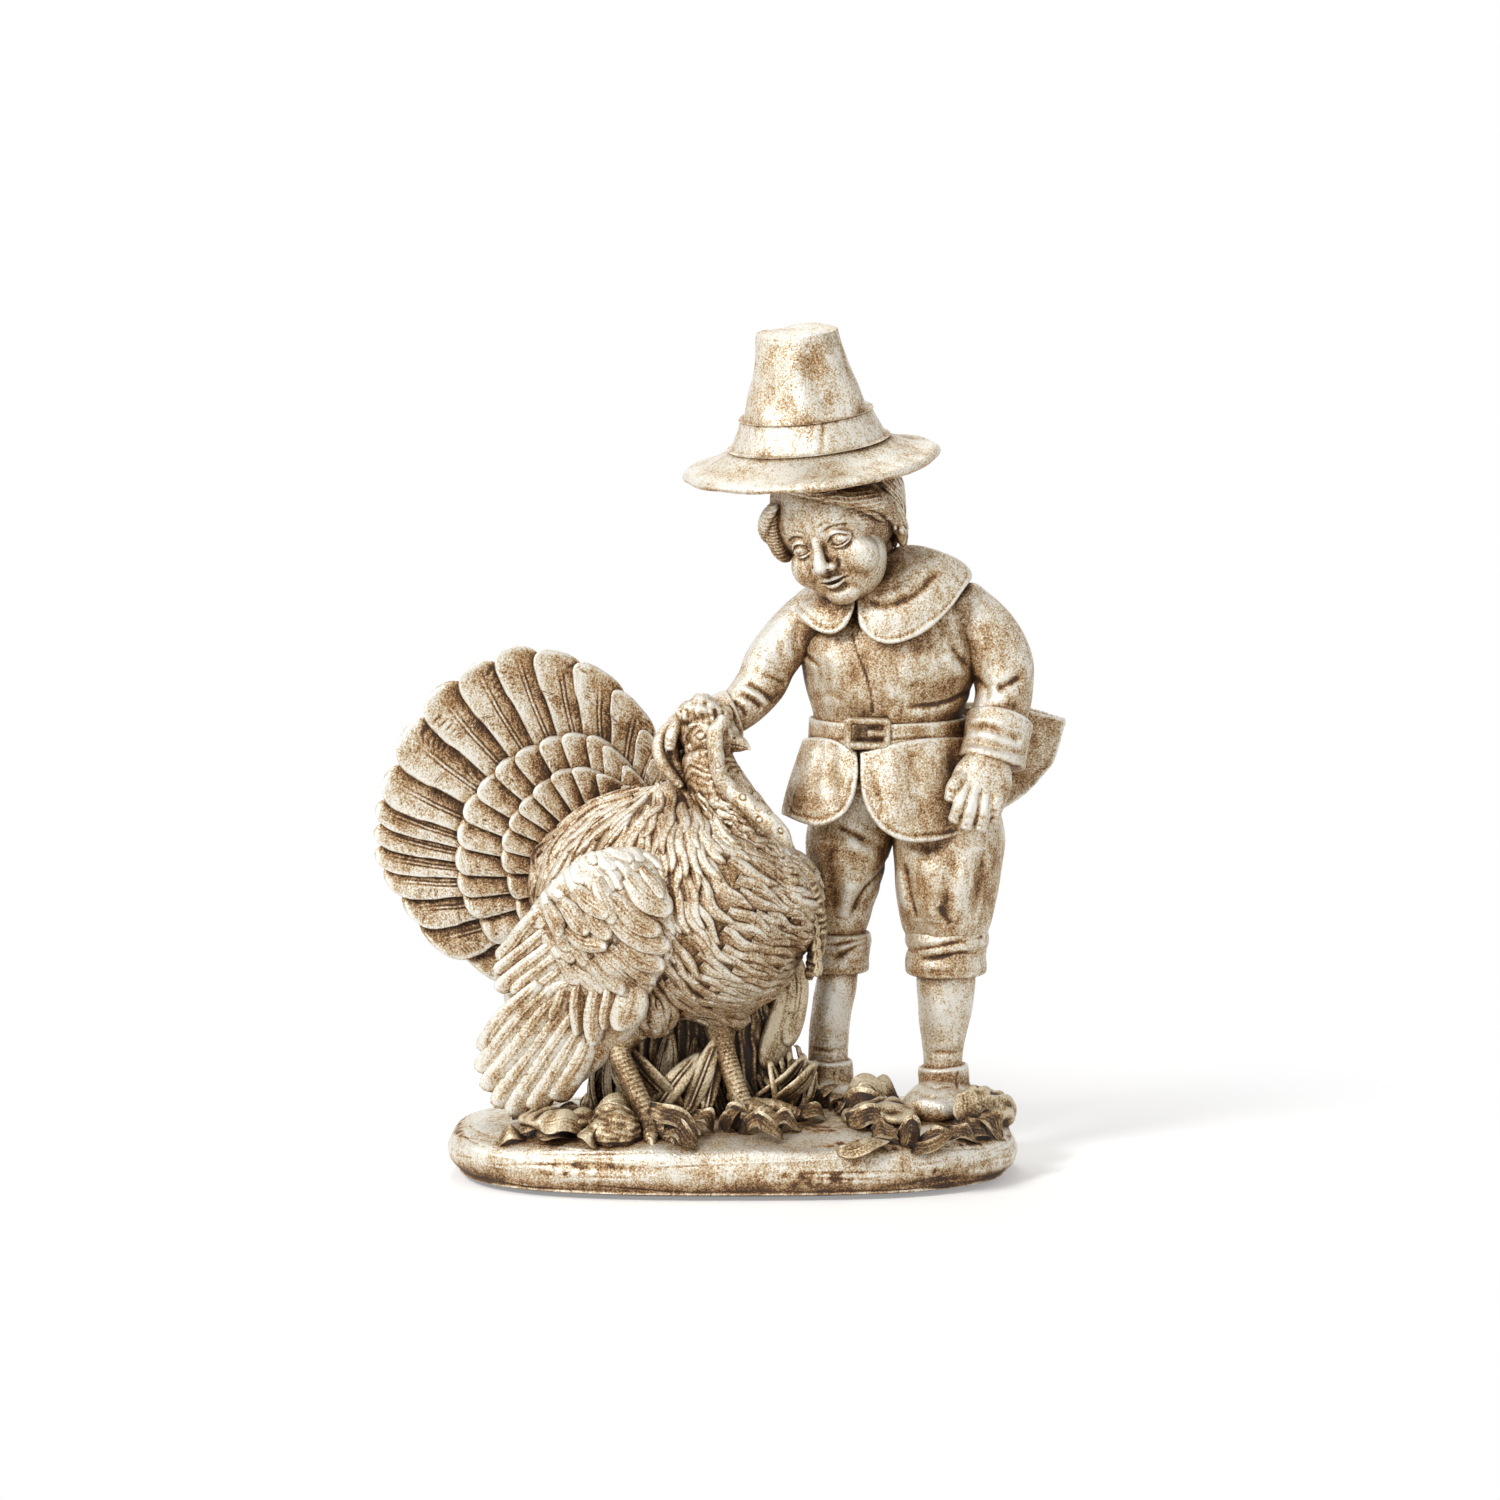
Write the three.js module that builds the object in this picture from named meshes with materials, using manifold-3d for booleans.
// A cast figurine: a boy in a tall brimmed hat rests one hand on the nape of a turkey with a fanned tail.
// The castings stand on one oblong mound of ground. Millimetres, +Z up, the viewer's side is -Y, and the
// origin is the centre of the underside. "left" and "right" are the figure's own, as on a tailor's dummy.
import * as THREE from "three";
import { mergeVertices } from "three/addons/utils/BufferGeometryUtils.js";
import Module from "manifold-3d";

const wasm = await Module();
wasm.setup();

// Driving sizes of the whole figurine
const figureHeight = 250; // ground mound and hat included
const figureWidth = 203; // from the tail's outer edge to the tip of the skirt's tail
const figureDepth = 90; // front to back, the unit of every depth share below
const castingGap = 0.3; // glue line between two castings
const overrun = 5; // how far a cutting tool runs past what it cuts

// Ground
const baseLength = 167;
const baseDepth = 90;
const baseThickness = 14; // at the rim, above the felt
const moundRise = 4; // middle of the ground above the rim
const feltThickness = 1;
const feltInset = 5;
const stoneRadius = 8.5;
const stoneHeight = 6;
const leafPileHeight = 6;
const leafPileRadius = 12;
const shoeLitterHeight = 9;
const grassBladeRadius = 1.7;
const grassBladeThickness = 0.9;
const undergrowthHalfWidth = 33; // at the ground, between the turkey's legs
const undergrowthHalfDepth = 13;

// Turkey
const turkeyBodyRise = 34; // half the body's height
const turkeyBodyHalfDepth = 31;
const bodyFeatherLength = 20; // the main feathers of the plumage
const bodyFeatherHalfWidth = 6.6;
const bodyFeatherLift = 1.5; // tip above the body
const bodyFeatherRowPitch = 16;
const turkeyNeckRadius = 13; // where it leaves the breast
const turkeyHeadRadius = 7.4;
const beakRadius = 3;
const snoodRadius = 2.9;
const beardRadius = 2.6;
const tailLength = 75.5; // the longest tail feather, from the root of the fan
const tailThickness = 3.6;
const tailMiddleThickness = 2.4;
const tailInnerThickness = 2.4;
const wingHalfWidth = 21;
const wingHalfThickness = 5;
const wingQuillHalfWidth = 16;
const wingQuillHalfThickness = 3.4;
const farWingHalfWidth = 12;
const farWingHalfThickness = 3.2;
const turkeyShankRadius = 2.7;
const turkeyThighRadius = 7;
const toeRadius = 2.3;

// Boy
const chestHalfWidth = 27;
const chestHalfDepth = 18;
const neckRadius = 9.5;
const headHalfWidth = 17.6;
const headHalfDepth = 20;
const hairThickness = 3.4;
const lockRadius = 6.8;
const sleeveRadius = 8.2;
const farSleeveRadius = 7.6;
const sleeveCuffRadius = 9.8;
const palmHalfWidth = 8.2;
const palmHalfThickness = 4;
const fingerRadius = 2.3;
const beltHeight = 7.4;
const beltThickness = 1.6;
const buckleWidth = 12.8;
const buckleHeight = 9.4;
const buckleThickness = 2.2;
const buckleBar = 2.1;
const collarThickness = 2;
const skirtHalfWidth = 32.5;
const skirtHalfDepth = 23;
const skirtThickness = 2.4;
const thighRadius = 15.6;
const farThighRadius = 13;
const kneeCuffRadius = 12.2;
const farKneeCuffRadius = 8.9;
const calfRadius = 8.6;
const farCalfRadius = 6.3;
const shoeHalfWidth = 9.4;
const shoeHalfHeight = 6.2;

// Hat
const hatBrimRadius = 37.5;
const hatBrimRise = 6.5;
const hatBrimThickness = 2.4;
const hatCrownFootRadius = 21.4;
const hatCrownTopRadius = 11.6;
const hatCrownHeight = 33;
const hatBandHeight = 8.2;
const hatBandThickness = 1.3;
const hatLeanAngle = 6; // degrees, towards the turkey
const hatNodAngle = 7; // degrees, brim down in front

// Steel wires cast into the legs, from the ground up
const legWireRadius = 1.2;
const turkeyWireRadius = 0.9;

// The photograph looks 7 degrees down on the figurine from viewDistance. The camera's axis meets the plane
// of depth 0 at middleColumnPx and targetRowPx, and there one pixel is perColumn by perRow.
const viewDistance = 1400;
const viewElevation = THREE.MathUtils.degToRad(7);
const middleColumnPx = 733; // over the centre of the base
const targetRowPx = 753;
const groundRowPx = 1109; // where the top of the ground lies at depth 0
const figureHeightPx = 855;
const figureWidthPx = 694;
const perRow = figureHeight / figureHeightPx;
const perColumn = figureWidth / figureWidthPx;
const groundHeight = feltThickness + castingGap + baseThickness + moundRise;
const targetHeight = groundHeight + ((groundRowPx - targetRowPx) * perRow) / Math.cos(viewElevation);

// A point from its column and row in the photograph and its depth as a share of figureDepth.
function place(column, row, depthShare) {
  const y = depthShare * figureDepth;
  const up = (targetRowPx - row) * perRow;
  const back = viewDistance * Math.cos(viewElevation);
  const lift = viewDistance * Math.sin(viewElevation);
  const reach = (back + y) / (back + up * Math.sin(viewElevation));
  const x = reach * (column - middleColumnPx) * perColumn;
  return new THREE.Vector3(x, y, targetHeight + lift + reach * (up * Math.cos(viewElevation) - lift));
}

// Solids

function solidOf(geometry) {
  const bare = geometry.clone();
  bare.deleteAttribute("normal");
  bare.deleteAttribute("uv");
  const merged = mergeVertices(bare, 1e-4);
  const triVerts = new Uint32Array(merged.index.array);
  const vertProperties = merged.attributes.position.array;
  const made = new wasm.Manifold(new wasm.Mesh({ numProp: 3, vertProperties, triVerts }));
  if (made.volume() > 0) return made;
  for (let i = 0; i < triVerts.length; i += 3) {
    [triVerts[i + 1], triVerts[i + 2]] = [triVerts[i + 2], triVerts[i + 1]];
  }
  return new wasm.Manifold(new wasm.Mesh({ numProp: 3, vertProperties, triVerts }));
}

function geometryOf(solid) {
  const mesh = solid.getMesh();
  const points = new Float32Array(mesh.numVert * 3);
  for (let i = 0; i < mesh.numVert; i++) {
    points.set(mesh.vertProperties.subarray(i * mesh.numProp, i * mesh.numProp + 3), i * 3);
  }
  const geometry = new THREE.BufferGeometry();
  geometry.setAttribute("position", new THREE.BufferAttribute(points, 3));
  geometry.setIndex(new THREE.BufferAttribute(new Uint32Array(mesh.triVerts), 1));
  return geometry;
}

function joined(...solids) {
  return solids.reduce((all, one) => all.add(one));
}

// The same solid with every corner moved out along its normal: a cutter that leaves room all round.
function swollen(solid, amount) {
  const geometry = mergeVertices(geometryOf(solid), 1e-4);
  geometry.computeVertexNormals();
  const at = geometry.attributes.position;
  const normal = geometry.attributes.normal;
  for (let i = 0; i < at.count; i++) {
    at.setXYZ(
      i,
      at.getX(i) + amount * normal.getX(i),
      at.getY(i) + amount * normal.getY(i),
      at.getZ(i) + amount * normal.getZ(i),
    );
  }
  return solidOf(geometry);
}

// One closed skin over rings of points, with a point at each end.
function skin(rings, firstTip, lastTip) {
  const sides = rings[0].length;
  const points = [...rings.flat(), firstTip, lastTip];
  const first = points.length - 2;
  const last = points.length - 1;
  const faces = [];
  for (let side = 0; side < sides; side++) {
    const next = (side + 1) % sides;
    faces.push(first, side, next);
    faces.push(last, (rings.length - 1) * sides + next, (rings.length - 1) * sides + side);
    for (let ring = 0; ring + 1 < rings.length; ring++) {
      const a = ring * sides + side;
      const b = ring * sides + next;
      faces.push(a, a + sides, b, b, a + sides, b + sides);
    }
  }
  const geometry = new THREE.BufferGeometry().setFromPoints(points);
  geometry.setIndex(faces);
  return solidOf(geometry);
}

// A rounded form along a smooth path. A station is [column, row, depth share, width share, thickness share];
// the width lies across the path as seen from the front, and the thickness lies along the view.
const domeAngleShares = [0.55];
function limb(stations, width, thickness, { rings = 6, sides = 10, dome = 0.55, acrossView = true } = {}) {
  const centres = new THREE.CatmullRomCurve3(stations.map((station) => place(...station)));
  const sizes = new THREE.CatmullRomCurve3(
    stations.map(([, , , wide, thick]) => new THREE.Vector3(wide * width, (thick ?? wide) * thickness, 0)),
  );
  const flat = acrossView ? new THREE.Vector3(0, 1, 0) : new THREE.Vector3(0, 0, 1);
  const ringAt = (t, shrink, along) => {
    const centre = centres.getPoint(t);
    const ahead = centres.getTangent(t);
    const deep = flat.clone().addScaledVector(ahead, -flat.dot(ahead)).normalize();
    const wide = new THREE.Vector3().crossVectors(deep, ahead);
    const size = sizes.getPoint(t);
    centre.addScaledVector(ahead, along * dome * Math.min(size.x, size.y));
    return Array.from({ length: sides }, (_, side) => {
      const turn = (side / sides) * 2 * Math.PI;
      return centre
        .clone()
        .addScaledVector(wide, shrink * size.x * Math.cos(turn))
        .addScaledVector(deep, shrink * size.y * Math.sin(turn));
    });
  };
  const middle = (points) => points.reduce((sum, p) => sum.add(p), new THREE.Vector3()).divideScalar(sides);
  const all = [];
  for (const share of [...domeAngleShares].reverse()) {
    const angle = share * Math.PI * 0.5;
    all.push(ringAt(0, Math.sin(angle), -Math.cos(angle)));
  }
  for (let ring = 0; ring < rings; ring++) all.push(ringAt(ring / (rings - 1), 1, 0));
  for (const share of domeAngleShares) {
    const angle = share * Math.PI * 0.5;
    all.push(ringAt(1, Math.sin(angle), Math.cos(angle)));
  }
  return skin(all, middle(ringAt(0, 0, -1)), middle(ringAt(1, 0, 1)));
}

// A closed slab over a grid of points, thickness added away from the viewer.
function slab(grid, thickness) {
  const rows = grid.length;
  const columns = grid[0].length;
  const back = grid.map((row) => row.map((p) => p.clone().setY(p.y + thickness)));
  const points = [...grid.flat(), ...back.flat()];
  const id = (side, row, column) => side * rows * columns + row * columns + column;
  const faces = [];
  const quad = (a, b, c, d) => faces.push(a, b, c, a, c, d);
  for (let r = 0; r + 1 < rows; r++) {
    for (let c = 0; c + 1 < columns; c++) {
      quad(id(0, r, c), id(0, r, c + 1), id(0, r + 1, c + 1), id(0, r + 1, c));
      quad(id(1, r, c), id(1, r + 1, c), id(1, r + 1, c + 1), id(1, r, c + 1));
    }
  }
  for (let c = 0; c + 1 < columns; c++) {
    quad(id(0, 0, c), id(1, 0, c), id(1, 0, c + 1), id(0, 0, c + 1));
    quad(id(0, rows - 1, c), id(0, rows - 1, c + 1), id(1, rows - 1, c + 1), id(1, rows - 1, c));
  }
  for (let r = 0; r + 1 < rows; r++) {
    quad(id(0, r, 0), id(0, r + 1, 0), id(1, r + 1, 0), id(1, r, 0));
    quad(id(0, r, columns - 1), id(1, r, columns - 1), id(1, r + 1, columns - 1), id(0, r + 1, columns - 1));
  }
  const geometry = new THREE.BufferGeometry().setFromPoints(points);
  geometry.setIndex(faces);
  return solidOf(geometry);
}

// A prism along the view over an outline of [column, row] pairs, between two depth shares.
function prism(outline, frontShare, backShare) {
  const middle = (frontShare + backShare) / 2;
  const flat = outline.map(([column, row]) => place(column, row, middle));
  const shape = new THREE.Shape(flat.map((p) => new THREE.Vector2(p.x, p.z)));
  const depth = (backShare - frontShare) * figureDepth;
  const geometry = new THREE.ExtrudeGeometry(shape, { depth, bevelEnabled: false });
  geometry.rotateX(Math.PI / 2);
  geometry.translate(0, backShare * figureDepth, 0);
  return solidOf(geometry);
}

// Castings, in the order in which they are fitted: each is cut clear of all those before it.
const castings = [];
function cast(name, material, solid) {
  castings.push({ name, material, solid });
  return solid;
}

const leaf = new THREE.MeshStandardMaterial({ color: 0xcdbf9f, roughness: 0.42, metalness: 0.85 });
const shadedLeaf = new THREE.MeshStandardMaterial({ color: 0xa08865, roughness: 0.48, metalness: 0.8 });
const felt = new THREE.MeshStandardMaterial({ color: 0x2d2b28, roughness: 0.95, metalness: 0 });
const steel = new THREE.MeshStandardMaterial({ color: 0x8d9094, roughness: 0.4, metalness: 1 });

// Wires

function wire(radius, from, to) {
  const a = place(...from);
  const b = place(...to);
  const geometry = new THREE.CylinderGeometry(radius, radius, a.distanceTo(b), 8);
  const along = b.clone().sub(a).normalize();
  geometry.applyQuaternion(new THREE.Quaternion().setFromUnitVectors(new THREE.Vector3(0, 1, 0), along));
  const centre = a.clone().add(b).multiplyScalar(0.5);
  geometry.translate(centre.x, centre.y, centre.z);
  return solidOf(geometry);
}

const leftWireEndsPx = [[942, 1150, 0.04], [946, 885, 0.05]];
const rightWireEndsPx = [[828, 1150, 0.13], [841, 885, 0.12]];
const turkeyRightWireEndsPx = [[658, 1166, -0.33], [633, 1082, -0.285]];
const turkeyLeftWireEndsPx = [[752, 1164, -0.22], [735, 1080, -0.178]];
cast("boy_left_leg_wire", steel, wire(legWireRadius, ...leftWireEndsPx));
cast("boy_right_leg_wire", steel, wire(legWireRadius, ...rightWireEndsPx));
cast("turkey_right_leg_wire", steel, wire(turkeyWireRadius, ...turkeyRightWireEndsPx));
cast("turkey_left_leg_wire", steel, wire(turkeyWireRadius, ...turkeyLeftWireEndsPx));

// Ground

// An oblong oval: each entry is [share of the rim's thickness or of the mound, share of the outline].
const rimProfileShares = [[0, 0.93], [0.2, 0.985], [0.55, 1], [0.88, 0.96], [1, 0.87]];
const moundProfileShares = [[0.6, 0.6]];
const oblongPower = 2.7;
const baseSides = 28;

function ovalRing(lengthwise, depthwise, height) {
  return Array.from({ length: baseSides }, (_, side) => {
    const turn = (side / baseSides) * 2 * Math.PI;
    const round = (value) => Math.sign(value) * Math.abs(value) ** (2 / oblongPower);
    return new THREE.Vector3(lengthwise * round(Math.cos(turn)), depthwise * round(Math.sin(turn)), height);
  });
}

function ground() {
  const ring = (outlineShare, height) => {
    return ovalRing((baseLength / 2) * outlineShare, (baseDepth / 2) * outlineShare, height);
  };
  const underside = feltThickness + castingGap;
  const rim = rimProfileShares.map(([up, out]) => ring(out, underside + up * baseThickness));
  const mound = moundProfileShares.map(([up, out]) => ring(out, underside + baseThickness + up * moundRise));
  return skin([...rim, ...mound], new THREE.Vector3(0, 0, underside), new THREE.Vector3(0, 0, groundHeight));
}

function feltSheet() {
  const inset = rimProfileShares[0][1];
  const along = (baseLength / 2) * inset - feltInset;
  const deep = (baseDepth / 2) * inset - feltInset;
  const rings = [ovalRing(along, deep, 0), ovalRing(along, deep, feltThickness)];
  return skin(rings, new THREE.Vector3(0, 0, 0), new THREE.Vector3(0, 0, feltThickness));
}

cast("ground_base", leaf, ground());
cast("felt_underside", felt, feltSheet());

// Turkey

const turkeyBodyStationsPx = [
  [540, 872, 0.13, 0.42, 0.42], [575, 880, 0.08, 0.74, 0.76], [625, 893, -0.01, 0.96, 0.95],
  [682, 903, -0.08, 1, 1], [735, 905, -0.12, 0.93, 0.92], [772, 902, -0.14, 0.72, 0.7],
  [792, 900, -0.15, 0.45, 0.45],
];
const wingStationsPx = [
  [654, 868, -0.34, 0.45, 0.8], [634, 892, -0.385, 0.84, 1], [606, 926, -0.37, 1, 1],
  [576, 964, -0.3, 0.97, 0.95], [545, 994, -0.235, 0.78, 0.8], [520, 1008, -0.19, 0.42, 0.5],
];
const wingQuillStationsPx = [
  [640, 948, -0.33, 0.6, 1], [606, 990, -0.3, 0.95, 1], [568, 1030, -0.265, 1, 1],
  [531, 1066, -0.23, 0.86, 0.8],
  [506, 1092, -0.2, 0.5, 0.6],
];
const farWingStationsPx = [
  [768, 930, 0.03, 0.7, 1], [791, 968, -0.03, 1, 1], [786, 1020, -0.06, 0.9, 0.9],
  [763, 1068, -0.08, 0.5, 0.6],
];
const farCovertStationsPx = [
  [640, 870, 0.2, 0.5, 0.8], [620, 905, 0.25, 0.95, 1], [590, 950, 0.26, 1, 1],
  [560, 1000, 0.25, 0.85, 0.8],
  [540, 1040, 0.24, 0.4, 0.4],
];
const tailRootPx = [620, 870, 0.13]; // where all tail feathers start
const turkeyNeckStationsPx = [
  [752, 905, -0.12, 1.15], [757, 872, -0.155, 1.12], [750, 838, -0.175, 0.98], [735, 807, -0.18, 0.75],
  [718, 780, -0.18, 0.55], [709, 756, -0.17, 0.5],
];
const turkeyHeadStationsPx = [
  [695, 731, -0.14, 0.62], [703, 732, -0.155, 0.98], [716, 736, -0.18, 1], [728, 741, -0.2, 0.66],
];
const beakStationsPx = [[727, 741, -0.2, 1], [739, 743, -0.215, 0.8], [749, 749, -0.225, 0.25]];
const snoodStationsPx = [
  [724, 724, -0.25, 0.65], [714, 747, -0.275, 0.8], [717, 770, -0.27, 0.85], [727, 788, -0.27, 0.9],
  [747, 804, -0.3, 1], [767, 820, -0.325, 1.1], [786, 836, -0.33, 0.75],
];
const beardStationsPx = [
  [800, 872, -0.19, 0.8], [813, 905, -0.2, 1], [817, 945, -0.18, 0.9], [808, 982, -0.14, 0.5],
];

cast("turkey_neck", leaf, limb(turkeyNeckStationsPx, turkeyNeckRadius, turkeyNeckRadius));

// Plumage: the main feathers hang down the body in rows on both sides, each with its tip over the next row.
const bodyCentres = new THREE.CatmullRomCurve3(turkeyBodyStationsPx.map((station) => place(...station)));
const bodySizes = new THREE.CatmullRomCurve3(
  turkeyBodyStationsPx.map(([, , , rise, deep]) => {
    return new THREE.Vector3(rise * turkeyBodyRise, deep * turkeyBodyHalfDepth, 0);
  }),
);
// A point over the body's skin, at a turn from its top; a negative turn is on the viewer's side.
function overBody(share, turn, lift) {
  const ahead = bodyCentres.getTangent(share);
  const deep = new THREE.Vector3(0, 1, 0).addScaledVector(ahead, -ahead.y).normalize();
  const rise = new THREE.Vector3().crossVectors(ahead, deep);
  const size = bodySizes.getPoint(share);
  return bodyCentres
    .getPoint(share)
    .addScaledVector(rise, Math.cos(turn) * (size.x + lift))
    .addScaledVector(deep, Math.sin(turn) * (size.y + lift));
}

const featherRingShares = [[0.12, 0.6, -0.2], [0.5, 1, 0.55], [0.86, 0.8, 1]]; // way along, width, lift
const featherSeatShare = 1.2; // depth of a feather's underside in the body, as a share of its lift
const paceShare = 0.01; // a small step along the body, to measure its stretch
function bodyFeather(share, turn) {
  const reach = (Math.sign(turn) * bodyFeatherLength) / turkeyBodyHalfDepth;
  const pace = bodyCentres.getPoint(share - paceShare).distanceTo(bodyCentres.getPoint(share + paceShare));
  const halfShare = (2 * paceShare * bodyFeatherHalfWidth) / pace;
  const rings = featherRingShares.map(([along, wide, high]) => {
    const at = (side, lift) => {
      const beside = Math.min(1, share + side * wide * halfShare);
      return overBody(beside, turn + along * reach, lift * bodyFeatherLift);
    };
    const low = -featherSeatShare;
    return [at(-1, high / 2), at(0, high), at(1, high / 2), at(1, low), at(0, low), at(-1, low)];
  });
  return skin(rings, overBody(share, turn, -bodyFeatherLift), overBody(share, turn + reach, 0));
}

const plumageFromTurn = THREE.MathUtils.degToRad(8);
const plumageToTurn = THREE.MathUtils.degToRad(110);
const plumagePlaceShares = [0.14, 0.29, 0.44, 0.58, 0.72, 0.86];
const coverShare = 1.2; // how far a wing or the neck covers the body, as a share of its own width
const fanToShare = 0.4; // the tail stands on the body up to here
const fanRoom = tailThickness + tailMiddleThickness + tailInnerThickness + bodyFeatherLift;
// Feathers are left out where a wing, the neck or the tail covers them.
function isCovered(share, turn) {
  const side = Math.sign(turn);
  const [root, spot, tip] = [0, 0.5, 1].map((along) => {
    return overBody(share, turn + (side * along * bodyFeatherLength) / turkeyBodyHalfDepth, 0);
  });
  const under = (stations, width) => stations.some((station) => {
    return place(...station).distanceTo(spot) < width * station[3] * coverShare;
  });
  const fan = place(...tailRootPx);
  if (share < fanToShare && [root, spot, tip].some((p) => Math.abs(p.y - fan.y) < fanRoom)) return true;
  if (under(wingStationsPx, wingHalfWidth) || under(farCovertStationsPx, wingHalfWidth)) return true;
  return under(turkeyNeckStationsPx, turkeyNeckRadius);
}

function plumage() {
  const feathers = [];
  const stagger = (plumagePlaceShares[1] - plumagePlaceShares[0]) / 2;
  let row = 0;
  for (let turn = plumageFromTurn; turn < plumageToTurn; turn += bodyFeatherRowPitch / turkeyBodyHalfDepth) {
    for (const start of plumagePlaceShares) {
      const share = start + (row % 2) * stagger;
      for (const side of [-1, 1]) {
        if (!isCovered(share, side * turn)) feathers.push(bodyFeather(share, side * turn));
      }
    }
    row += 1;
  }
  return feathers;
}

const bodyForm = { rings: 9, sides: 16 };
const turkeyBodyCore = limb(turkeyBodyStationsPx, turkeyBodyRise, turkeyBodyHalfDepth, bodyForm);
cast("turkey_body", leaf, joined(turkeyBodyCore, ...plumage()));
cast("turkey_head", leaf, limb(turkeyHeadStationsPx, turkeyHeadRadius, turkeyHeadRadius, { rings: 5 }));
cast("turkey_beak", leaf, limb(beakStationsPx, beakRadius, beakRadius, { rings: 3, sides: 6 }));
cast("turkey_snood", leaf, limb(snoodStationsPx, snoodRadius, snoodRadius, { rings: 8, sides: 6 }));
cast("turkey_beard", shadedLeaf, limb(beardStationsPx, beardRadius, beardRadius, { rings: 5, sides: 6 }));

// The tail fan opens from one root. Each entry is [angle in degrees, share of tailLength]; 180 points away
// from the boy. Three tiers of feathers lie on each other, the shortest in front.
const tailReachShares = [
  [48, 0.34], [60, 0.42], [75, 0.56], [90, 0.72], [105, 0.87], [118, 0.95], [132, 1], [150, 0.99],
  [170, 0.95], [185, 0.91], [197, 0.85], [208, 0.74], [216, 0.62],
];
const tailTiltShare = 0.13; // how far the tips lean back, for each unit of reach
const tailTurnShare = 0.22; // how much nearer the outer side comes than the inner side
const tailFrom = tailReachShares[0][0];
const tailTo = tailReachShares.at(-1)[0];

function tailReach(angle) {
  const after = Math.max(1, tailReachShares.findIndex(([to]) => to >= angle));
  const [fromAngle, fromShare] = tailReachShares[after - 1];
  const [toAngle, toShare] = tailReachShares[after];
  return tailLength * THREE.MathUtils.lerp(fromShare, toShare, (angle - fromAngle) / (toAngle - fromAngle));
}

const scallopShare = 0.05;
const tierRowShares = [0.12, 0.6, 0.9, 1];
const stepsPerFeather = 4;
function tailTier(reachShare, feathers, thickness, forward) {
  const root = place(...tailRootPx);
  const steps = feathers * stepsPerFeather;
  const grid = tierRowShares.map((rowShare) => {
    return Array.from({ length: steps + 1 }, (_, step) => {
      const angle = THREE.MathUtils.lerp(tailFrom, tailTo, step / steps);
      const turn = THREE.MathUtils.degToRad(angle);
      const edge = Math.abs(((step / stepsPerFeather) % 1) * 2 - 1) ** 2;
      const notch = rowShare < tierRowShares.at(-2) ? 0 : scallopShare * edge;
      const reach = tailReach(angle) * reachShare * rowShare * (1 - notch);
      const lean = reach * (tailTiltShare + tailTurnShare * Math.cos(turn)) - forward;
      const outward = new THREE.Vector3(reach * Math.cos(turn), lean, reach * Math.sin(turn));
      return outward.add(root);
    });
  });
  return slab(grid, thickness);
}

const tailMiddleReachShare = 0.65;
const tailInnerReachShare = 0.49;
const outerFeathers = 17;
const middleFeathers = 12;
const innerFeathers = 10;
const outerTier = tailTier(1, outerFeathers, tailThickness, 0);
const middleForward = tailMiddleThickness;
const middleTier = tailTier(tailMiddleReachShare, middleFeathers, tailMiddleThickness, middleForward);
const innerForward = middleForward + tailInnerThickness;
const innerTier = tailTier(tailInnerReachShare, innerFeathers, tailInnerThickness, innerForward);
cast("tail_outer_feathers", leaf, outerTier);
cast("tail_middle_feathers", leaf, middleTier);
cast("tail_inner_feathers", leaf, innerTier);

// Wings: covert shields on the body, with the long quills below them.
const wingForm = { rings: 7, sides: 10 };
const wing = (stations, width, thickness) => limb(stations, width, thickness, wingForm);
cast("turkey_right_wing_coverts", leaf, wing(wingStationsPx, wingHalfWidth, wingHalfThickness));
cast("turkey_right_wing_quills", leaf, wing(wingQuillStationsPx, wingQuillHalfWidth, wingQuillHalfThickness));
cast("turkey_left_wing_quills", leaf, wing(farWingStationsPx, farWingHalfWidth, farWingHalfThickness));
cast("turkey_left_wing_coverts", leaf, wing(farCovertStationsPx, wingHalfWidth, wingHalfThickness));

// Legs: a thigh that narrows to the shank, then three toes forward and one back.
const rightLegStationsPx = [
  [652, 1000, -0.17, 1], [634, 1026, -0.21, 0.75], [619, 1048, -0.25, 0.5], [630, 1078, -0.28, 0.4],
  [645, 1112, -0.315, 0.4],
];
const leftLegStationsPx = [
  [722, 998, -0.1, 1], [720, 1022, -0.12, 0.75], [723, 1046, -0.145, 0.5], [732, 1074, -0.175, 0.4],
  [743, 1106, -0.2, 0.4],
];
const legForm = { rings: 6, sides: 8 };
cast("turkey_right_leg", shadedLeaf, limb(rightLegStationsPx, turkeyThighRadius, turkeyThighRadius, legForm));
cast("turkey_left_leg", shadedLeaf, limb(leftLegStationsPx, turkeyThighRadius, turkeyThighRadius, legForm));

function foot(ankle, tips) {
  const [column, row, depth] = ankle;
  const toes = tips.map(([tipColumn, tipRow, tipDepth]) => {
    const middle = [(column + tipColumn) / 2, (row + tipRow) / 2 - knuckleRisePx, (depth + tipDepth) / 2];
    const toe = [[column, row, depth, 1], [...middle, 0.95], [tipColumn, tipRow, tipDepth, 0.45]];
    return limb(toe, toeRadius, toeRadius, { rings: 3, sides: 6 });
  });
  return joined(...toes);
}

const knuckleRisePx = 3; // how far a toe's knuckle stands above its line
const rightAnklePx = [646, 1112, -0.315];
const leftAnklePx = [744, 1106, -0.2];
const rightToeTipsPx = [[674, 1144, -0.42], [699, 1134, -0.37], [652, 1146, -0.43], [633, 1101, -0.23]];
const leftToeTipsPx = [[783, 1129, -0.28], [806, 1118, -0.2], [727, 1129, -0.29], [730, 1096, -0.12]];
cast("turkey_right_foot", shadedLeaf, foot(rightAnklePx, rightToeTipsPx));
cast("turkey_left_foot", shadedLeaf, foot(leftAnklePx, leftToeTipsPx));

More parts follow.
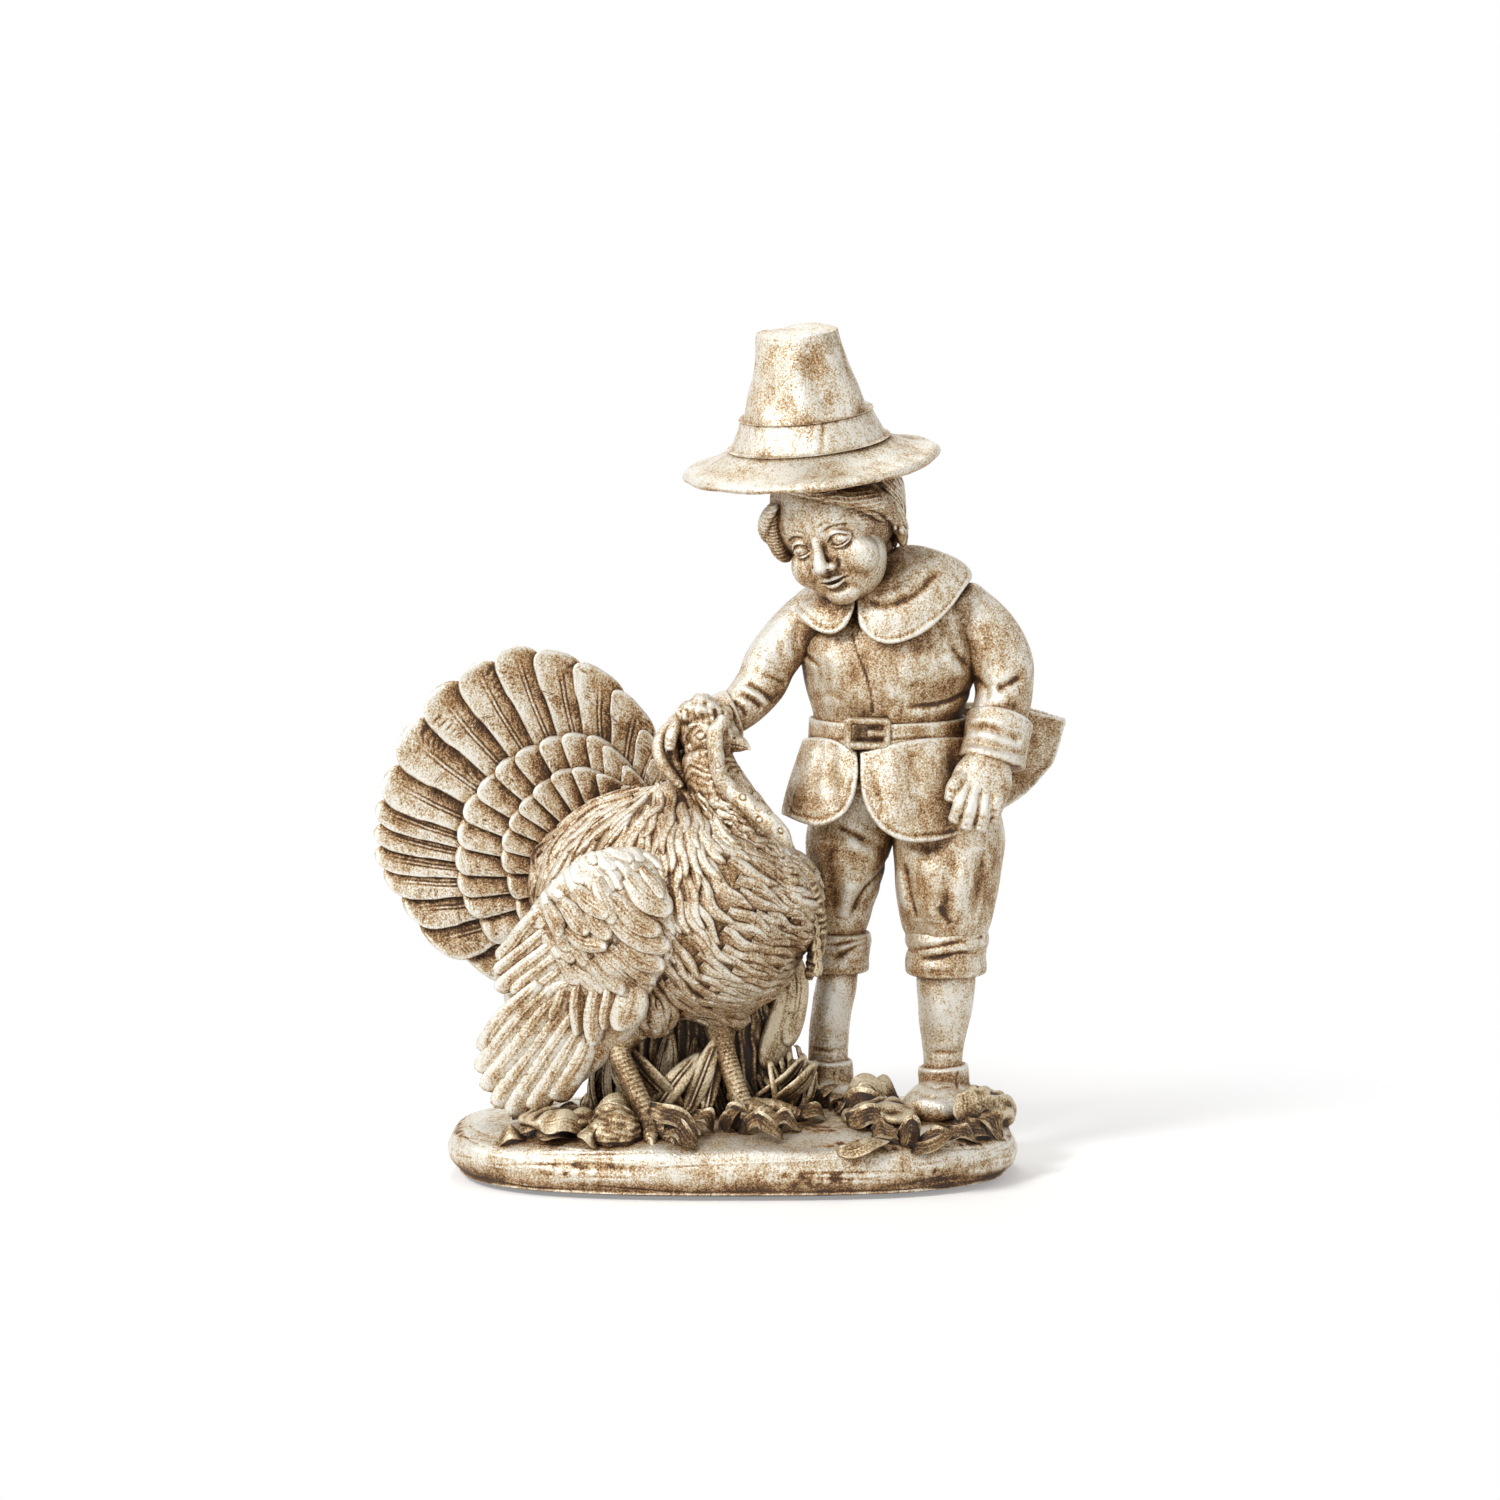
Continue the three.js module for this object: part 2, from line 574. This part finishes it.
// Boy's body and head

const doubletStationsPx = [
  [889, 778, 0.1, 0.84, 0.93], [888, 745, 0.1, 0.83, 0.93], [888, 715, 0.09, 0.82, 0.92],
  [888, 682, 0.08, 0.92, 1],
  [889, 652, 0.07, 0.98, 1], [884, 620, 0.07, 0.93, 0.88], [877, 598, 0.07, 0.7, 0.68],
  [871, 584, 0.065, 0.42, 0.5],
];
const neckStationsPx = [[871, 600, 0.06, 1], [863, 578, 0.04, 0.95], [854, 556, 0.03, 1]];
const headStationsPx = [
  [846, 592, -0.045, 0.42, 0.45], [843, 578, -0.035, 0.74, 0.74], [839, 558, -0.02, 0.93, 0.92],
  [834, 532, 0, 1, 1], [829, 504, 0.015, 1, 1], [826, 482, 0.02, 0.88, 0.9], [825, 472, 0.02, 0.7, 0.72],
];
const doublet = cast(
  "doublet",
  leaf,
  limb(doubletStationsPx, chestHalfWidth, chestHalfDepth, { rings: 8, sides: 14, dome: 0.2 }),
);
cast("boy_neck", leaf, limb(neckStationsPx, neckRadius, neckRadius, { rings: 3 }));
const headForm = { rings: 7, sides: 12 };
const head = cast("boy_head", leaf, limb(headStationsPx, headHalfWidth, headHalfDepth, headForm));

// Hair: a cap over the skull that leaves the face bare, with a lock at each temple.
const hairOutlinePx = [
  [740, 520], [772, 505], [800, 498], [840, 497], [868, 508], [884, 530], [892, 560], [905, 575],
  [940, 560],
  [940, 440], [740, 440],
];
const backHairOutlinePx = [
  [760, 440], [940, 440], [940, 560], [895, 578], [850, 578], [800, 560], [760, 530],
];
const rightLockStationsPx = [[800, 487, 0.0, 0.9], [772, 500, -0.03, 1], [752, 517, -0.03, 0.7]];
const leftLockStationsPx = [
  [868, 474, 0, 0.9], [894, 492, 0.02, 1.15], [901, 516, 0.04, 0.95], [893, 533, 0.05, 0.6],
];
function hair() {
  const cap = swollen(head, hairThickness);
  const front = cap.intersect(prism(hairOutlinePx, -0.5, 0.08));
  const back = cap.intersect(prism(backHairOutlinePx, 0.06, 0.5));
  const locks = [rightLockStationsPx, leftLockStationsPx].map((lock) => {
    return limb(lock, lockRadius, lockRadius, { rings: 4, sides: 7 });
  });
  return joined(front, back, ...locks);
}
cast("boy_hair", leaf, hair());

// Hat: brim, band and crown turned about one axis that leans with the head.
const hatSeatPx = [811, 463, 0.02];
function hatPiece(profile) {
  const points = profile.map(([radius, height]) => new THREE.Vector2(radius, height));
  const geometry = new THREE.LatheGeometry(points, 22);
  geometry.rotateX(Math.PI / 2);
  geometry.rotateY(-THREE.MathUtils.degToRad(hatLeanAngle));
  geometry.rotateX(THREE.MathUtils.degToRad(hatNodAngle));
  const seat = place(...hatSeatPx);
  geometry.translate(seat.x, seat.y, seat.z);
  return solidOf(geometry);
}

const crownShoulderShare = 0.93; // height of the crown at which its top edge starts to round over
const crownTopRimShare = 0.8;
const bandTopShare = hatBandHeight / hatCrownHeight;
const crownWaistRadius = THREE.MathUtils.lerp(hatCrownFootRadius, hatCrownTopRadius, bandTopShare);
const crownTop = hatBrimRise + hatCrownHeight;
cast("hat_crown", leaf, hatPiece([
  [0, hatBrimRise], [hatCrownFootRadius, hatBrimRise], [crownWaistRadius, hatBrimRise + hatBandHeight],
  [hatCrownTopRadius, hatBrimRise + hatCrownHeight * crownShoulderShare],
  [hatCrownTopRadius * crownTopRimShare, crownTop], [0, crownTop],
]));
cast("hat_band", leaf, hatPiece([
  [0, hatBrimRise], [hatCrownFootRadius + hatBandThickness, hatBrimRise],
  [crownWaistRadius + hatBandThickness, hatBrimRise + hatBandHeight], [0, hatBrimRise + hatBandHeight],
]));
const brimWaistShare = 0.62; // share of the brim's radius at which it turns up to the crown
const brimWaistRiseShare = 0.5;
cast("hat_brim", leaf, hatPiece([
  [0, hatBrimRise - hatBrimThickness],
  [hatBrimRadius * brimWaistShare, hatBrimRise * brimWaistRiseShare - hatBrimThickness / 2],
  [hatBrimRadius - hatBrimThickness / 2, -hatBrimThickness / 2], [hatBrimRadius, 0],
  [hatBrimRadius - hatBrimThickness / 2, hatBrimThickness / 2],
  [hatBrimRadius * brimWaistShare, hatBrimRise * brimWaistRiseShare + hatBrimThickness / 2],
  [hatCrownFootRadius, hatBrimRise], [0, hatBrimRise],
]));

// Belt and buckle, which the arms hang clear of

const waistDepthShare = 0.92;
const beltCentrePx = [888, 729, 0.095];
function belt() {
  const centre = place(...beltCentrePx);
  const reach = Math.max(chestHalfWidth, chestHalfDepth) + overrun;
  const band = new THREE.BoxGeometry(2 * reach, 2 * reach, beltHeight);
  band.translate(centre.x, centre.y, centre.z);
  return swollen(doublet, beltThickness).intersect(solidOf(band));
}
cast("belt", leaf, belt());

// Skirt of the doublet: two rounded lobes in front, which the hand rests on.
const skirtStationsPx = [
  [888, 728, 0.09, 0.74, 0.78], [888, 760, 0.09, 0.84, 0.88], [888, 800, 0.09, 0.95, 0.96],
  [888, 860, 0.09, 1.04, 1.03],
];
const rightSkirtOutlinePx = [
  [857, 752], [858, 775], [853, 800], [842, 816], [822, 826], [805, 824], [788, 817], [774, 808],
  [780, 785],
  [793, 762], [800, 752],
];
const leftSkirtOutlinePx = [
  [860, 752], [861, 790], [868, 812], [882, 830], [903, 841], [930, 842], [957, 835], [985, 822],
  [1003, 800],
  [1000, 770], [988, 752],
];
function skirt(outline) {
  const form = { rings: 4, sides: 18, dome: 0.2 };
  const outer = limb(skirtStationsPx, skirtHalfWidth, skirtHalfDepth, form);
  const inner = limb(skirtStationsPx, skirtHalfWidth - skirtThickness, skirtHalfDepth - skirtThickness, form);
  return outer.subtract(inner).add(belted()).intersect(prism(outline, -0.5, skirtStationsPx[0][2]));
}
// The cloth just under the belt fills the space between the skirt and the waist.
function belted() {
  const stations = [[888, 731, 0.09, 0.74, 0.78], [888, 752, 0.09, 0.8, 0.84]];
  return limb(stations, skirtHalfWidth, skirtHalfDepth, { rings: 2, sides: 18, dome: 0.1 });
}
cast("skirt_right_lobe", leaf, skirt(rightSkirtOutlinePx));
cast("skirt_left_lobe", leaf, skirt(leftSkirtOutlinePx));

// The buckle lies on the belt, and its lower bar on the skirt.
const buckleCentrePx = [867, 733];
const buckleTurn = THREE.MathUtils.degToRad(12); // round the waist, away from straight ahead
function buckle() {
  const rectangle = (Kind, width, height) => {
    const outline = [[-1, -1], [1, -1], [1, 1], [-1, 1]];
    return new Kind(outline.map(([x, z]) => new THREE.Vector2((x * width) / 2, (z * height) / 2)));
  };
  const frame = rectangle(THREE.Shape, buckleWidth, buckleHeight);
  frame.holes.push(rectangle(THREE.Path, buckleWidth - 2 * buckleBar, buckleHeight - 2 * buckleBar));
  const options = { depth: buckleThickness, bevelEnabled: false };
  const tongue = new THREE.BoxGeometry(buckleWidth / 2, buckleBar / 2, buckleThickness);
  tongue.translate(buckleWidth / 4, 0, buckleThickness / 2);
  const made = [new THREE.ExtrudeGeometry(frame, options), tongue].map((geometry) => {
    geometry.rotateX(Math.PI / 2);
    geometry.rotateZ(-buckleTurn);
    const [column, row] = buckleCentrePx;
    const centre = place(column, row, beltCentrePx[2]);
    centre.y -= chestHalfDepth * waistDepthShare + beltThickness;
    geometry.translate(centre.x, centre.y, centre.z);
    return solidOf(geometry);
  });
  return joined(...made);
}
cast("belt_buckle", leaf, buckle());

// Arms

const rightSleeveStationsPx = [
  [820, 608, 0.06, 1], [795, 631, 0.05, 1.02], [772, 660, 0.03, 1.02], [762, 682, 0.01, 0.98],
  [748, 700, -0.015, 0.9], [736, 711, -0.03, 0.83], [727, 718, -0.038, 0.76],
];
const leftSleeveStationsPx = [
  [958, 607, 0.07, 1.1], [984, 634, 0.06, 1.2], [1000, 662, 0.05, 1.18], [1004, 690, 0.03, 1.04],
  [1000, 715, 0, 1], [997, 735, -0.02, 0.92],
];
const leftCuffStationsPx = [[1000, 722, -0.005, 1], [998, 742, -0.03, 0.97], [993, 763, -0.05, 0.99]];
const rightCuffStationsPx = [[733, 714, -0.033, 0.74], [708, 725, -0.052, 0.76]];
const arm = (stations, radius, form) => limb(stations, radius, radius, form);
cast("doublet_right_sleeve", leaf, arm(rightSleeveStationsPx, farSleeveRadius, { rings: 8 }));
cast("doublet_left_sleeve", leaf, arm(leftSleeveStationsPx, sleeveRadius, { rings: 7 }));
cast("left_sleeve_cuff", leaf, arm(leftCuffStationsPx, sleeveCuffRadius, { rings: 3, dome: 0.12 }));
cast("right_sleeve_cuff", leaf, arm(rightCuffStationsPx, sleeveCuffRadius, { rings: 2, dome: 0.15 }));

// Hands: a flat palm with four fingers and a thumb.
const fingerForm = { rings: 3, sides: 5 };
function hand(palmStations, palmWidth, digits) {
  const palm = limb(palmStations, palmWidth, palmHalfThickness, { rings: 4, sides: 8 });
  return joined(palm, ...digits.map((digit) => limb(digit, fingerRadius, fingerRadius, fingerForm)));
}
const leftPalmStationsPx = [
  [990, 757, -0.09, 0.75, 1.3], [984, 776, -0.13, 1.05, 1.05], [977, 794, -0.15, 1.08, 0.9],
];
const leftDigitsPx = [
  [[966, 785, -0.16, 1], [961, 803, -0.185, 1], [954, 820, -0.18, 0.8]],
  [[975, 788, -0.16, 1], [971, 808, -0.19, 1.05], [966, 827, -0.185, 0.85]],
  [[986, 788, -0.15, 1], [984, 810, -0.18, 1.05], [980, 828, -0.175, 0.85]],
  [[996, 786, -0.14, 1], [996, 804, -0.165, 1], [993, 820, -0.16, 0.8]],
  [[968, 773, -0.14, 1.05], [955, 785, -0.17, 1], [950, 799, -0.175, 0.8]],
];
const rightPalmStationsPx = [
  [716, 722, -0.048, 0.6, 1], [702, 729, -0.055, 0.95, 1], [684, 740, -0.06, 1, 0.9],
];
const rightDigitsPx = [
  [[694, 719, -0.055, 0.95], [670, 725, -0.115, 0.92], [674, 737, -0.18, 0.75]],
  [[688, 735, -0.055, 0.95], [660, 743, -0.115, 0.92], [667, 756, -0.18, 0.75]],
  [[688, 751, -0.055, 0.95], [661, 762, -0.115, 0.92], [671, 775, -0.18, 0.75]],
  [[694, 765, -0.055, 0.9], [673, 780, -0.115, 0.88], [684, 790, -0.17, 0.7]],
  [[712, 715, -0.07, 0.95], [701, 705, -0.13, 0.9], [694, 704, -0.19, 0.75]],
];
cast("boy_left_hand", leaf, hand(leftPalmStationsPx, palmHalfWidth, leftDigitsPx));
cast("boy_right_hand", leaf, hand(rightPalmStationsPx, palmHalfWidth, rightDigitsPx));

// Legs

const leftThighStationsPx = [
  [930, 768, 0.09, 0.95], [950, 820, 0.075, 1.1], [953, 857, 0.06, 1.1], [949, 895, 0.05, 0.98],
  [946, 926, 0.05, 0.82],
  [946, 942, 0.05, 0.62],
];
const rightThighStationsPx = [
  [862, 772, 0.11, 0.95], [851, 828, 0.12, 1], [847, 857, 0.12, 0.92], [842, 895, 0.12, 0.77],
  [840, 926, 0.12, 0.6], [841, 942, 0.12, 0.48],
];
const thighForm = { rings: 6, sides: 10 };
cast("breeches_left_leg", leaf, limb(leftThighStationsPx, thighRadius, thighRadius, thighForm));
cast("breeches_right_leg", leaf, limb(rightThighStationsPx, farThighRadius, farThighRadius, thighForm));

const leftStockingStationsPx = [
  [946, 952, 0.05, 0.96], [946, 985, 0.05, 1], [944, 1020, 0.05, 0.86], [943, 1052, 0.05, 0.68],
  [943, 1082, 0.05, 0.66],
];
const rightStockingStationsPx = [
  [840, 952, 0.12, 0.92], [836, 985, 0.12, 0.97], [830, 1020, 0.125, 0.95], [828, 1052, 0.13, 0.95],
  [828, 1076, 0.13, 0.9],
];
cast("left_stocking", leaf, limb(leftStockingStationsPx, calfRadius, calfRadius, { rings: 5 }));
cast("right_stocking", leaf, limb(rightStockingStationsPx, farCalfRadius, farCalfRadius, { rings: 5 }));

const leftKneeCuffStationsPx = [
  [947, 930, 0.05, 0.99], [947, 943, 0.05, 1], [946, 958, 0.05, 0.95], [946, 970, 0.05, 0.98],
];
const rightKneeCuffStationsPx = [
  [841, 933, 0.12, 0.99], [841, 944, 0.12, 1], [840, 957, 0.12, 0.95], [840, 968, 0.12, 0.97],
];
const kneeForm = { rings: 3, sides: 10, dome: 0.15 };
cast("left_knee_cuff", leaf, limb(leftKneeCuffStationsPx, kneeCuffRadius, kneeCuffRadius, kneeForm));
cast("right_knee_cuff", leaf, limb(rightKneeCuffStationsPx, farKneeCuffRadius, farKneeCuffRadius, kneeForm));

// Shoes: a foot along the ground joined to a short collar round the ankle.
const shoeCollarShare = 0.82;
function shoe(footStations, collarStations) {
  const foot = limb(footStations, shoeHalfWidth, shoeHalfHeight, { rings: 5, sides: 8, acrossView: false });
  const collar = limb(collarStations, shoeHalfWidth * shoeCollarShare, shoeHalfWidth * shoeCollarShare, {
    rings: 2,
    sides: 8,
    dome: 0.1,
  });
  return joined(foot, collar);
}
const leftShoeStationsPx = [
  [948, 1092, 0.1, 0.8, 1], [944, 1096, 0.03, 0.92, 1], [934, 1104, -0.06, 1, 0.95],
  [927, 1111, -0.13, 0.8, 0.62],
];
const leftShoeCollarStationsPx = [
  [943, 1066, 0.05, 0.98], [944, 1080, 0.05, 0.98], [944, 1096, 0.04, 0.95],
];
const rightShoeStationsPx = [
  [832, 1088, 0.19, 0.8, 1], [828, 1091, 0.13, 0.92, 1], [820, 1098, 0.05, 0.92, 0.95],
  [815, 1103, 0, 0.75, 0.62],
];
const rightShoeCollarStationsPx = [
  [829, 1060, 0.13, 0.92], [829, 1075, 0.13, 0.95], [828, 1090, 0.12, 0.95],
];
cast("left_shoe", leaf, shoe(leftShoeStationsPx, leftShoeCollarStationsPx));
cast("right_shoe", leaf, shoe(rightShoeStationsPx, rightShoeCollarStationsPx));

// Clothes laid on the doublet

const shoulderSpreadShare = 1.18; // of the chest, sleeves included
const rightCollarOutlinePx = [
  [856, 596], [853, 612], [845, 627], [832, 634], [817, 631], [803, 621], [793, 606], [787, 592],
  [792, 576],
  [815, 566], [856, 566],
];
const leftCollarOutlinePx = [
  [858, 566], [858, 618], [865, 633], [878, 642], [898, 643], [925, 632], [948, 611], [962, 592],
  [972, 573],
  [950, 555], [905, 545],
];
const cloakStationsPx = [
  [862, 560, 0.065, 0.44, 0.64], [868, 575, 0.07, 0.72, 0.82], [874, 592, 0.07, 0.88, 0.95],
  [882, 620, 0.07, 1, 1.05],
  [889, 650, 0.07, 1.06, 1.1],
];
// Each lobe is cut from one cloak round the shoulders, and then fitted to the doublet and the sleeves.
function collar(outline) {
  const width = chestHalfWidth * shoulderSpreadShare + collarThickness;
  const depth = chestHalfDepth + collarThickness;
  const cloak = limb(cloakStationsPx, width, depth, { rings: 6, sides: 16, dome: 0.1 });
  return cloak.intersect(prism(outline, -0.6, 0.6));
}
cast("right_collar", leaf, collar(rightCollarOutlinePx));
cast("left_collar", leaf, collar(leftCollarOutlinePx));

// The tail of the skirt swings out behind, past the left arm.
const tailWaistPx = [
  [828, 738, 0.18], [858, 728, 0.26], [890, 722, 0.285], [930, 714, 0.265], [966, 708, 0.2],
];
const tailMidwayPx = [
  [808, 774, 0.24], [856, 784, 0.33], [905, 786, 0.36], [968, 766, 0.34], [1026, 709, 0.27],
];
const tailHemPx = [
  [790, 812, 0.28], [850, 836, 0.37], [925, 842, 0.41], [1022, 800, 0.39], [1073, 718, 0.32],
];
const backTailRowsPx = [tailWaistPx, tailMidwayPx, tailHemPx];
const backTailRows = backTailRowsPx.map((row) => row.map((station) => place(...station)));
cast("skirt_back_tail", leaf, slab(backTailRows, skirtThickness));

// Ground cover

function pebble(seat, radius, height, flatten) {
  const geometry = new THREE.SphereGeometry(1, 10, 6);
  const centre = place(...seat);
  geometry.scale(radius, radius * flatten, height);
  geometry.translate(centre.x, centre.y, centre.z);
  return solidOf(geometry);
}
const stoneSeatPx = [614, 1132, -0.39];
const leftLitterSeatPx = [560, 1116, -0.3];
const rightLitterSeatPx = [888, 1112, -0.2];
const shoeLitterSeatPx = [980, 1106, 0.03];
cast("stone", shadedLeaf, pebble(stoneSeatPx, stoneRadius, stoneHeight, 0.7));
cast("left_leaf_litter", shadedLeaf, pebble(leftLitterSeatPx, leafPileRadius, leafPileHeight, 0.8));
cast("right_leaf_litter", shadedLeaf, pebble(rightLitterSeatPx, leafPileRadius, leafPileHeight, 0.7));
cast("shoe_leaf_litter", shadedLeaf, pebble(shoeLitterSeatPx, leafPileRadius, shoeLitterHeight, 0.8));

function tuft(root, tips) {
  const [column, row, depth] = root;
  const blades = tips.map(([tipColumn, tipRow, tipDepth], i) => {
    const foot = [column + (i - tips.length / 2) * bladeSpacingPx, row, depth, 1];
    const bend = [(column + tipColumn * 2) / 3, (row + tipRow) / 2, (depth + tipDepth) / 2, 0.9];
    const tip = [tipColumn, tipRow, tipDepth, 0.2];
    return limb([foot, bend, tip], grassBladeRadius, grassBladeThickness, { rings: 4, sides: 4 });
  });
  const crown = pebble(root, bladeSpacingPx * tips.length * perColumn, grassBladeRadius * 2, 0.5);
  return joined(crown, ...blades);
}
const bladeSpacingPx = 4; // pixels between the feet of two blades
const middleTipsPx = [[658, 1052, -0.1], [676, 1056, -0.06], [700, 1046, -0.1], [719, 1040, -0.06]];
const rightTipsPx = [[764, 1074, -0.06], [782, 1058, -0.02], [800, 1066, -0.06], [816, 1070, -0.08]];
const middleTuftSeatPx = [690, 1122, -0.12];
const rightTuftSeatPx = [790, 1119, -0.08];
cast("middle_grass_tuft", shadedLeaf, tuft(middleTuftSeatPx, middleTipsPx));
cast("right_grass_tuft", shadedLeaf, tuft(rightTuftSeatPx, rightTipsPx));

// A solid clump of grass and bark fills the space under the belly and carries the heavy body.
const undergrowthStationsPx = [
  [697, 1128, 0.02, 1, 1], [697, 1095, 0.02, 0.98, 0.95], [702, 1050, 0.02, 0.86, 0.85],
  [708, 1005, 0.02, 0.74, 0.8], [706, 965, 0.02, 0.6, 0.7],
];
const undergrowthForm = { rings: 5, sides: 16, dome: 0.1 };
cast(
  "undergrowth",
  shadedLeaf,
  limb(undergrowthStationsPx, undergrowthHalfWidth, undergrowthHalfDepth, undergrowthForm),
);

// Fit the castings to each other and hang them in one group.

function apart(a, b) {
  return [0, 1, 2].some((axis) => a.max[axis] < b.min[axis] || b.max[axis] < a.min[axis]);
}

const figurine = new THREE.Group();
const fitted = [];
for (const { name, material, solid } of castings) {
  let own = solid;
  for (const earlier of fitted) {
    if (!apart(own.boundingBox(), earlier.room.boundingBox())) own = own.subtract(earlier.room);
  }
  const pieces = own.decompose().sort((a, b) => b.volume() - a.volume());
  const mesh = new THREE.Mesh(geometryOf(pieces[0]), material);
  mesh.name = name;
  figurine.add(mesh);
  fitted.push({ name, room: swollen(solid, castingGap).add(solid) });
}

export default figurine;
